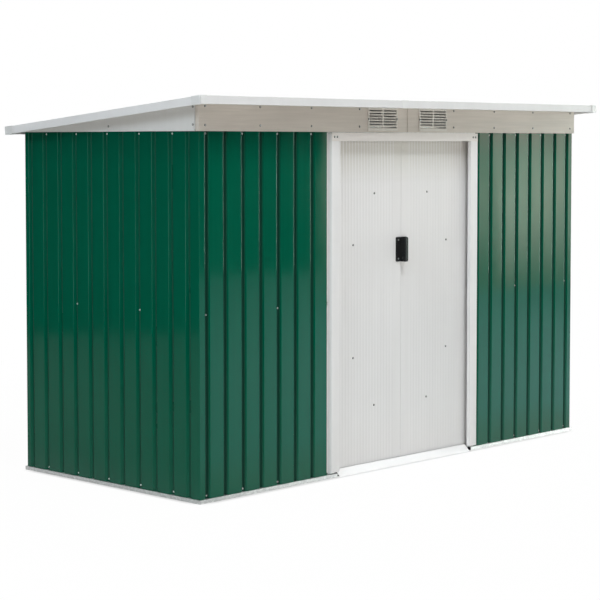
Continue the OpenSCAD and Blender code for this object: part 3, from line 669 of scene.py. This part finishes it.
def bare_material(name):
    """A material with no shader yet, its tree and its output node."""
    material = bpy.data.materials.new(name)
    material.use_nodes = True
    material.node_tree.nodes.clear()
    return material, material.node_tree, add(material.node_tree, "ShaderNodeOutputMaterial")


# Floor, in metres, where four numbers are the values at the two ends of a range and then those ends

FLOOR_RADIUS = 60
FLOOR_DROP = 0.0005
FLOOR_BOUNCE = (0.90, 0.87, 0.82)
FOOT_LINE = 0.030
FOOT_DARK = 0.22
FOOT_CORNER = 0.080
SHADOW_STRENGTH = 0.02
SHADOW_REACH = 4.0
# Brightness of the floor in reflections: its slope over the floor, its middle, and what dims it
SHEEN_SLOPE = (0.17, 0.15, 0.0)
SHEEN_MIDDLE = 1.24
SHEEN_AWAY = (1, 0.6, 3.5, 10)
SHEEN_BEHIND = (1, 0.25, 0.40, 0.80)
SHEEN_LEFT = (0.46, 1, -1.8, -0.8)
# Tint of the floor in reflections, away from the shed's foot and to the right of the left wall
REFLECTED_TINT = (0.98, 1.35, 1.45)
TINT_OUTSIDE = (1, 0, -0.8, -0.2)
TINT_RIGHT = (0, 1, -1.6, -0.6)


def foot_light(tree, nearest, deepest):
    """Light of the floor at the shed's foot: a thin dark line along the walls, that fades at the corners."""
    line = remapped(tree, nearest, 0, FOOT_DARK, -FOOT_LINE, -FOOT_LINE / 2)
    shade = calc(tree, "MULTIPLY", line, remapped(tree, deepest, 0, 1, 0, FOOT_CORNER))
    return calc(tree, "SUBTRACT", 1.0, shade)


def sheen_light(tree, place, axes, away, mirrored):
    """Brightness of the floor in reflections, and 1 elsewhere."""
    slope = add(tree, "ShaderNodeVectorMath", {0: place, 1: SHEEN_SLOPE}, operation="DOT_PRODUCT")
    slope = slope.outputs["Value"]
    sheen = product(tree, calc(tree, "ADD", slope, SHEEN_MIDDLE),
                    (remapped(tree, away, *SHEEN_AWAY), remapped(tree, slope, *SHEEN_BEHIND),
                     remapped(tree, axes["X"], *SHEEN_LEFT)))
    return calc(tree, "MULTIPLY_ADD", mirrored, calc(tree, "SUBTRACT", sheen, 1.0), 1.0)


def floor():
    """A white floor with a thin shadow at the shed's foot, that also lights the shed from below."""
    material, tree, output = bare_material("floor_white")
    place = add(tree, "ShaderNodeTexCoord").outputs["Object"]
    axes = axes_of(tree, place)
    depths = footprint_depths(tree, place)
    nearest = calc(tree, "MINIMUM", *depths)
    deepest = calc(tree, "MAXIMUM", *depths)
    away = add(tree, "ShaderNodeVectorMath", {0: place}, operation="LENGTH").outputs["Value"]
    mirrored = add(tree, "ShaderNodeLightPath").outputs["Is Glossy Ray"]
    bright = calc(tree, "MULTIPLY", foot_light(tree, nearest, deepest),
                  sheen_light(tree, place, axes, away, mirrored))
    tinted = product(tree, mirrored, (remapped(tree, nearest, *TINT_OUTSIDE),
                                      remapped(tree, axes["X"], *TINT_RIGHT)))
    glow = add(tree, "ShaderNodeEmission",
               {"Color": mixed(tree, tinted, (1, 1, 1), REFLECTED_TINT), "Strength": bright})
    bounce = add(tree, "ShaderNodeBsdfDiffuse", {"Color": (*FLOOR_BOUNCE, 1)})
    clear = remapped(tree, away, 1 - SHADOW_STRENGTH, 1, SHADOW_REACH / 2, SHADOW_REACH)
    shown = product(tree, seen_directly(tree), (clear, calc(tree, "LESS_THAN", nearest, 0.0)))
    mix = add(tree, "ShaderNodeMixShader",
              {0: shown, 1: bounce.outputs["BSDF"], 2: glow.outputs["Emission"]})
    tree.links.new(mix.outputs["Shader"], output.inputs["Surface"])
    r = FLOOR_RADIUS
    corners = [(-r, -r, -FLOOR_DROP), (r, -r, -FLOOR_DROP), (r, r, -FLOOR_DROP), (-r, r, -FLOOR_DROP)]
    stage_piece("floor", corners, [(0, 1, 2, 3)], material)


# Walls and panels of the studio that only reflections show, in metres

STUDIO_CENTRE = (1.125, -2.54)
STUDIO_RADIUS = 9.75
STUDIO_HEIGHT = 7
STUDIO_SIDES = 64
STUDIO_GLOW = 0.012
# Streaky panel to the right of the camera, which steps up in brightness and dies away rightward and below
PANEL_CORNERS = ((1.62, -2.6, 0.50), (4.8, -2.6, 0.50), (4.8, -2.6, 2.8), (1.76, -2.6, 2.8))
PANEL_COLOUR = (1, 0.94, 0.80)
PANEL_STRENGTH = 7.0
PANEL_FADE = (1, 0.12, 3.2, 4.9)
PANEL_STEP = (0.50, 1.08, 3.38, 3.44)
PANEL_RISE = (0.25, 1, 0.55, 1.15)
PANEL_STREAKS = (0.40, 1.50)
PANEL_STREAK_STRETCH = (7, 1, 0.6)
PANEL_STREAK_SCALE = 1.6
# Strips that light the bends of the left wall and of the front
FOLD_STRIP = ((-6.3, -2.2, 0.2), (-6.3, 0.6, 0.2), (-6.3, 0.6, 2.2), (-6.3, -2.2, 2.2))
FOLD_COLOUR = (0.75, 1.0, 0.90)
FOLD_STRENGTH = 7.0
SIDE_STRIP = ((6.0, -3.4, 0.45), (6.0, -0.9, 0.45), (6.0, -0.9, 3.0), (6.0, -3.4, 3.0))
SIDE_COLOUR = (0.80, 1.0, 0.92)
SIDE_STRENGTH = 26.0


def panel_level(tree):
    """How bright the panel is from place to place."""
    place = add(tree, "ShaderNodeTexCoord").outputs["Object"]
    axes = axes_of(tree, place)
    streaks = noise(tree, stretched(tree, place, PANEL_STREAK_STRETCH), PANEL_STREAK_SCALE)
    return product(tree, PANEL_STRENGTH,
                   (remapped(tree, axes["X"], *PANEL_FADE), remapped(tree, streaks, *PANEL_STREAKS),
                    remapped(tree, axes["X"], *PANEL_STEP), remapped(tree, axes["Z"], *PANEL_RISE)))


def emitter(name, colour, strength, level_of=None):
    """A glowing surface, of one strength or of a level that changes from place to place."""
    material, tree, output = bare_material(name)
    glow = add(tree, "ShaderNodeEmission", {"Color": (*colour, 1), "Strength": strength})
    if level_of is not None:
        tree.links.new(level_of(tree), glow.inputs["Strength"])
    tree.links.new(glow.outputs["Emission"], output.inputs["Surface"])
    return material


def reflected(name, corners, faces, material):
    """A piece of the stage that is seen in reflections alone."""
    piece = stage_piece(name, corners, faces, material)
    piece.visible_camera = False
    piece.visible_diffuse = False
    piece.visible_transmission = False
    piece.visible_volume_scatter = False
    piece.visible_shadow = False


def studio_walls():
    """The dark wall round the studio, the bright panel, and the two strips."""
    count = STUDIO_SIDES
    turns = [2 * math.pi * i / count for i in range(count)]
    centre_x, centre_y = STUDIO_CENTRE
    ring = [(centre_x + STUDIO_RADIUS * math.cos(turn), centre_y + STUDIO_RADIUS * math.sin(turn))
            for turn in turns]
    corners = [(x, y, z) for z in (0, STUDIO_HEIGHT) for x, y in ring]
    faces = [(i, (i + 1) % count, count + (i + 1) % count, count + i) for i in range(count)]
    reflected("studio_wall", corners, faces, emitter("studio_dark", (1, 1, 1), STUDIO_GLOW))
    panel_light = emitter("panel_light", PANEL_COLOUR, PANEL_STRENGTH, panel_level)
    reflected("bright_panel", PANEL_CORNERS, [(0, 1, 2, 3)], panel_light)
    reflected("fold_strip", FOLD_STRIP, [(0, 1, 2, 3)], emitter("fold_light", FOLD_COLOUR, FOLD_STRENGTH))
    reflected("side_strip", SIDE_STRIP, [(0, 1, 2, 3)], emitter("strip_light", SIDE_COLOUR, SIDE_STRENGTH))


# Sky and lamps

SKY = (0.97, 0.985, 1.0)
SKY_LOW = 0.15
SKY_HIGH = 0.28
# Name, place, target, side in metres, power in watts and colour of each lamp
LAMPS = (
    ("key_lamp", (-1.6, -4.4, 8.8), (0, 0, 0.8), 3.0, 460, (0.93, 0.975, 1.0)),
    ("left_lamp", (-6.5, -2.0, 4.6), (-1.3, 0, 0.9), 2.4, 148, (0.79, 0.91, 1.0)),
    ("right_lamp", (2.7, -2.8, 1.8), (1.0, 0, 1.2), 1.6, 1.2, (1, 1, 1)),
    ("front_lamp", (-4.4, -5.8, 0.9), (0.1, -0.5, 1.0), 2.6, 46, (1.0, 0.91, 0.82)),
    ("groove_lamp", (5.5, -0.95, 1.3), (0, -0.56, 0.9), 0.6, 170, (1, 1, 1)),
    ("back_lamp", (3.0, 6.5, 7.0), (0, 0.5, 0.8), 3.5, 120, (1, 1, 1)),
)


def world():
    """A soft sky that is brighter above, and plain white where it is seen."""
    scene_world = bpy.data.worlds.new("studio")
    scene_world.use_nodes = True
    tree = scene_world.node_tree
    tree.nodes.clear()
    output = add(tree, "ShaderNodeOutputWorld")
    toward = add(tree, "ShaderNodeTexCoord").outputs["Generated"]
    strength = remapped(tree, axes_of(tree, toward)["Z"], SKY_LOW, SKY_HIGH, 0, 1)
    light = add(tree, "ShaderNodeBackground", {"Color": (*SKY, 1), "Strength": strength})
    white = add(tree, "ShaderNodeBackground", {"Color": (1, 1, 1, 1), "Strength": 1.0})
    mix = add(tree, "ShaderNodeMixShader", {0: seen_directly(tree), 1: light.outputs["Background"],
                                            2: white.outputs["Background"]})
    tree.links.new(mix.outputs["Shader"], output.inputs["Surface"])
    bpy.context.scene.world = scene_world


def softbox(name, place, target, size, power, colour):
    """A large soft lamp that points at a target, and isn't seen in reflections."""
    lamp = bpy.data.lights.new(name, "AREA")
    lamp.shape = "SQUARE"
    lamp.size = size
    lamp.energy = power
    lamp.color = colour
    holder = bpy.data.objects.new(name, lamp)
    holder.location = place
    holder.rotation_mode = "QUATERNION"
    holder.rotation_quaternion = (Vector(target) - Vector(place)).to_track_quat("-Z", "Y")
    holder.visible_glossy = False
    bpy.context.scene.collection.objects.link(holder)


def camera():
    """The camera, whose focal length in pixels gives its lens."""
    lens = bpy.data.cameras.new("camera")
    lens.lens = lens.sensor_width * CAMERA_FOCAL / PICTURE_SIDE
    lens.shift_y = CAMERA_SHIFT
    lens.clip_end = CAMERA_REACH
    holder = bpy.data.objects.new("camera", lens)
    holder.location = CAMERA_PLACE
    holder.rotation_euler = (math.radians(90 + CAMERA_PITCH), 0, math.radians(-CAMERA_YAW))
    bpy.context.scene.collection.objects.link(holder)
    bpy.context.scene.camera = holder


floor()
studio_walls()
world()
for lamp in LAMPS:
    softbox(*lamp)
camera()
bpy.context.scene.view_settings.view_transform = "Standard"
